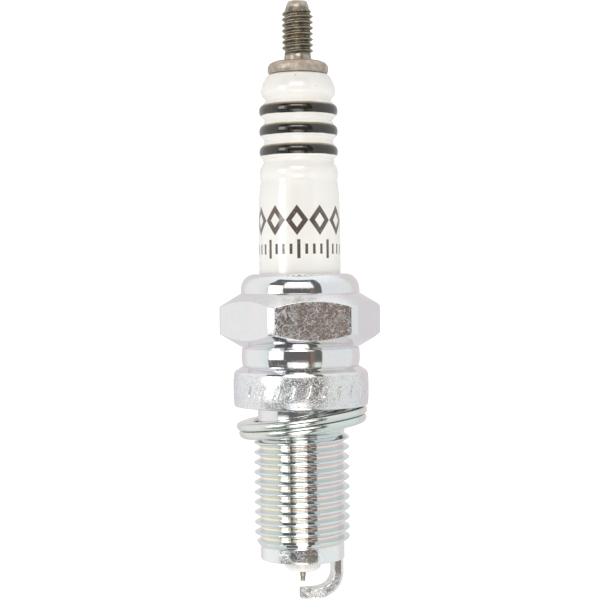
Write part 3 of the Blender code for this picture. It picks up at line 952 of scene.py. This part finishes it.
def make_gasket():
    """The folded washer, a little wavy at its rim, drawn flat and then cocked about its outer roll."""
    b = Build(even_angles(180))
    outline = [(7.86, -0.935), (8.02, -0.90), (8.14, -0.80), (8.22, -0.66), (8.25, -0.50), (8.23, -0.34)]
    outline += [(8.16, -0.18), (8.02, -0.06), (7.84, -0.01), (7.6, 0.0), (7.0, -0.005), (6.5, 0.0)]
    outline += [(6.27, -0.03), (6.14, -0.14), (6.09, -0.32), (6.08, -0.7), (6.08, -1.3), (6.09, -1.75)]
    outline += [(6.15, -1.94), (6.30, -2.04)]
    outline += [(6.6, -2.05), (7.1, -2.05), (7.36, -2.045), (7.62, -2.00), (7.83, -1.88), (7.97, -1.70)]
    outline += [(8.04, -1.48), (8.04, -1.28), (7.98, -1.12), (7.88, -1.02), (7.75, -0.99)]
    seam = [(7.45, -0.965), (7.25, -0.962)]
    rings = []
    for r, z in smooth_through(outline + seam, 2, closed=True):
        row = []
        for a in b.angles:
            wave = noise.noise(Vector((3.1 * math.cos(a), 3.1 * math.sin(a), 0.7))) * 0.03
            row.append((r + wave * ramp(r, 6.4, 8.0), z))
        rings.append(b.ring(row))
    b.skin(rings + rings[:1])
    tilt = Matrix.Rotation(math.radians(GASKET_TILT_DEG), 3, "Y")
    pivot = Vector((GASKET_ROLL_R, 0, -GASKET_ROLL - GASKET_GAP))
    for i, v in enumerate(b.verts):
        local = Vector(v) - Vector((GASKET_ROLL_R, 0, -GASKET_ROLL))
        b.verts[i] = tuple(tilt @ local + pivot)
    return b.finish("gasket_folded", [GASKET_PLATE], 45)


# ---------------------------------------------------------------- pieces and what they stand for

for piece, body, node, slot in (
    (make_shell(), "plug", "shell", "plated_steel"),
    (make_insulator(), "plug", "insulator", "white_glaze"),
    (make_stud(), "plug", "terminal_stud", "terminal_steel"),
    (make_centre_electrode(), "plug", "centre_electrode", "nickel_alloy"),
    (make_tip(), "plug", "iridium_tip", "iridium"),
    (make_strap(), "plug", "ground_electrode", "nickel_alloy"),
    (make_gasket(), "loose_gasket", "gasket", "gasket_steel"),
):
    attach(piece, body)
    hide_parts(node)

hidden_finishes = {
    "upper_glass_seal": powder("glass_seal_fired", (0.20, 0.14, 0.11), (0.09, 0.065, 0.05), 0.35),
    "lower_glass_seal": powder("glass_seal_fired_low", (0.20, 0.14, 0.11), (0.09, 0.065, 0.05), 0.35),
    "resistor": powder("resistor_fired", (0.13, 0.13, 0.13), (0.05, 0.05, 0.05), 0.7),
    "talc_seal": powder("talc_pressed", (0.88, 0.87, 0.83), (0.74, 0.73, 0.69), 0.9),
    "copper_core": plain_metal("copper_extruded", (0.80, 0.42, 0.27), (0.62, 0.29, 0.17), 0.33),
    "upper_packing_ring": plain_metal("packing_wire", (0.50, 0.50, 0.51), (0.33, 0.33, 0.34), 0.45),
    "lower_packing_ring": plain_metal("packing_wire_low", (0.50, 0.50, 0.51), (0.33, 0.33, 0.34), 0.45),
    "seat_packing": plain_metal("packing_sheet", (0.50, 0.50, 0.51), (0.33, 0.33, 0.34), 0.45),
}
for node, finish in hidden_finishes.items():
    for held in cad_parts[node].material_slots:
        held.material = finish


# ---------------------------------------------------------------- stage, light and camera

FLOOR_Z = -160.0


def make_floor():
    """A wide pale disc below the plug, in millimetres like the rest."""
    b = Build(even_angles(64))
    rings = [b.ring((r, FLOOR_Z)) for r in (1500.0, 600.0, 150.0)]
    b.skin(rings)
    b.cap(rings[-1], b.pole(FLOOR_Z))
    n = Nodes("floor_white")
    n.set(Base_Color=n.colours(n.noise(3.0), (0.3, (0.93, 0.93, 0.93)), (0.7, (0.95, 0.95, 0.95))))
    n.set(Roughness=0.9)
    n.set(Emission_Color=(1.0, 1.0, 1.0, 1.0), Emission_Strength=0.42)
    obj = b.finish("floor", [n.material])
    obj.visible_glossy = False


TENT_LOW, TENT_MIDDLE, TENT_HIGH = (0.80, 0.835, 0.825), (0.87, 0.90, 0.91), (1.05, 1.06, 1.07)
# How much of the tent's light the matt surfaces go without
DIFFUSE_DIMMING = 0.43
# What stands in the tent: left, right, bottom and top edges in degrees as seen from the plug, with 0 straight
# towards -Y, then how soft its edges are, and its colour. Later ones stand in front of earlier ones.
CARDS = (
    (118, 168, -45, 45, 9.0, (0.78, 0.77, 0.775)),
    (-128, -78, -45, 45, 9.0, (0.97, 0.96, 0.95)),
    (-185, -138, -60, 60, 9.0, (0.79, 0.785, 0.785)),
    (158, 185, -60, 60, 9.0, (0.79, 0.785, 0.785)),
    (-66, 42, -70, 62, 1.2, (0.150, 0.146, 0.148)),
    (-65, -33, -38, -18, 1.5, (0.62, 0.64, 0.64)),
    (-65, -33, -7.5, 25, 0.8, (1.3, 1.3, 1.3)),
    (-59, -41, -4, 21, 1.2, (4.3, 4.3, 4.3)),
    (-26, 16, -36, -12.5, 1.2, (1.15, 1.15, 1.14)),
    (-20, 20, -70, -30, 2.0, (2.0, 2.0, 2.0)),
    (-14, 8, -32, -16, 2.0, (3.2, 3.2, 3.2)),
    (-32, 27, 16, 50, 1.5, (1.2, 1.19, 1.16)),
    (-24, 14, 26, 40, 1.5, (6.0, 5.8, 5.4)),
    (-7, 16, -13.5, -9, 1.5, (0.36, 0.27, 0.24)),
    (15, 20, -22, 9, 2.0, (0.15, 0.125, 0.125)),
    (19, 27, -22, 9, 2.0, (0.275, 0.195, 0.155)),
    (27, 41, -36, -13, 2.5, (0.85, 0.86, 0.86)),
)


def make_world():
    """A white tent with dark and white cards and a soft box in front of the plug, laid out by direction."""
    world = bpy.data.worlds.new("studio")
    bpy.context.scene.world = world
    world.use_nodes = True
    world.node_tree.nodes.clear()
    n = Tree(world.node_tree)

    def between(angle, low, high, soft):
        """1 where an angle lies between two others, with soft edges."""
        above = n.span(angle, low - soft, low + soft)
        return n.math("MULTIPLY", above, n.math("SUBTRACT", 1.0, n.span(angle, high - soft, high + soft)))

    split = n.add("ShaderNodeSeparateXYZ")
    n.join(n.add("ShaderNodeTexCoord").outputs["Generated"], split.inputs["Vector"])
    across = n.math("ARCTAN2", split.outputs["X"], n.math("MULTIPLY", split.outputs["Y"], -1.0))
    across = n.math("MULTIPLY", across, math.degrees(1))
    rise = n.math("MULTIPLY", n.math("ARCSINE", split.outputs["Z"]), math.degrees(1))
    upper = n.mix(n.span(rise, 20.0, 70.0), TENT_MIDDLE, TENT_HIGH)
    colour = n.mix(n.span(rise, -36.0, -8.0), TENT_LOW, upper)
    for left, right, bottom, top, soft, shade in CARDS:
        card = n.math("MULTIPLY", between(across, left, right, soft), between(rise, bottom, top, soft))
        colour = n.mix(card, colour, shade)

    light = n.add("ShaderNodeBackground")
    n.join(colour, light.inputs["Color"])
    path = n.add("ShaderNodeLightPath")
    dimmed = n.math("SUBTRACT", 1.0, n.math("MULTIPLY", path.outputs["Is Diffuse Ray"], DIFFUSE_DIMMING))
    n.join(dimmed, light.inputs["Strength"])
    backdrop = n.add("ShaderNodeBackground")
    n.put(backdrop, "Color", (1.0, 1.0, 1.0, 1.0))
    n.put(backdrop, "Strength", 1.2)
    pick = n.add("ShaderNodeMixShader")
    n.join(path.outputs["Is Camera Ray"], pick.inputs["Fac"])
    n.join(light.outputs[0], pick.inputs[1])
    n.join(backdrop.outputs[0], pick.inputs[2])
    n.join(pick.outputs[0], n.add("ShaderNodeOutputWorld").inputs["Surface"])


def area_light(name, place, size, power, colour):
    """A soft box at a place in metres, turned towards a point on the plug's axis just above the seat."""
    lamp = bpy.data.lights.new(name, "AREA")
    lamp.shape = "RECTANGLE"
    lamp.size, lamp.size_y = size
    lamp.energy = power
    lamp.color = colour
    obj = bpy.data.objects.new(name, lamp)
    obj.location = place
    obj.rotation_euler = (Vector((0, 0, 0.012)) - Vector(place)).to_track_quat("-Z", "Y").to_euler()
    obj.visible_glossy = False
    bpy.context.scene.collection.objects.link(obj)


CAMERA_PLACE = (0, -0.186, 0.0155)
CAMERA_DIP_DEG, CAMERA_ROLL_DEG = 2.31, -0.57


def make_camera():
    """A camera a little above the seat, tipped slightly down, with the whole plug in its view."""
    camera = bpy.data.cameras.new("camera")
    camera.sensor_width = 36.0
    camera.lens = 89.4
    camera.shift_x = -0.001
    camera.shift_y = 0.0690
    camera.clip_start = 0.01
    camera.clip_end = 20.0
    obj = bpy.data.objects.new("camera", camera)
    dip = Matrix.Rotation(math.radians(90 - CAMERA_DIP_DEG), 4, "X")
    roll = Matrix.Rotation(math.radians(CAMERA_ROLL_DEG), 4, "Z")
    obj.matrix_world = Matrix.Translation(CAMERA_PLACE) @ dip @ roll
    bpy.context.scene.collection.objects.link(obj)
    bpy.context.scene.camera = obj


make_floor()
make_world()
area_light("front", (0.38, -0.46, 0.06), (0.7, 0.7), 0.80, (1.0, 0.97, 0.925))
make_camera()
bpy.context.scene.view_settings.view_transform = "Standard"
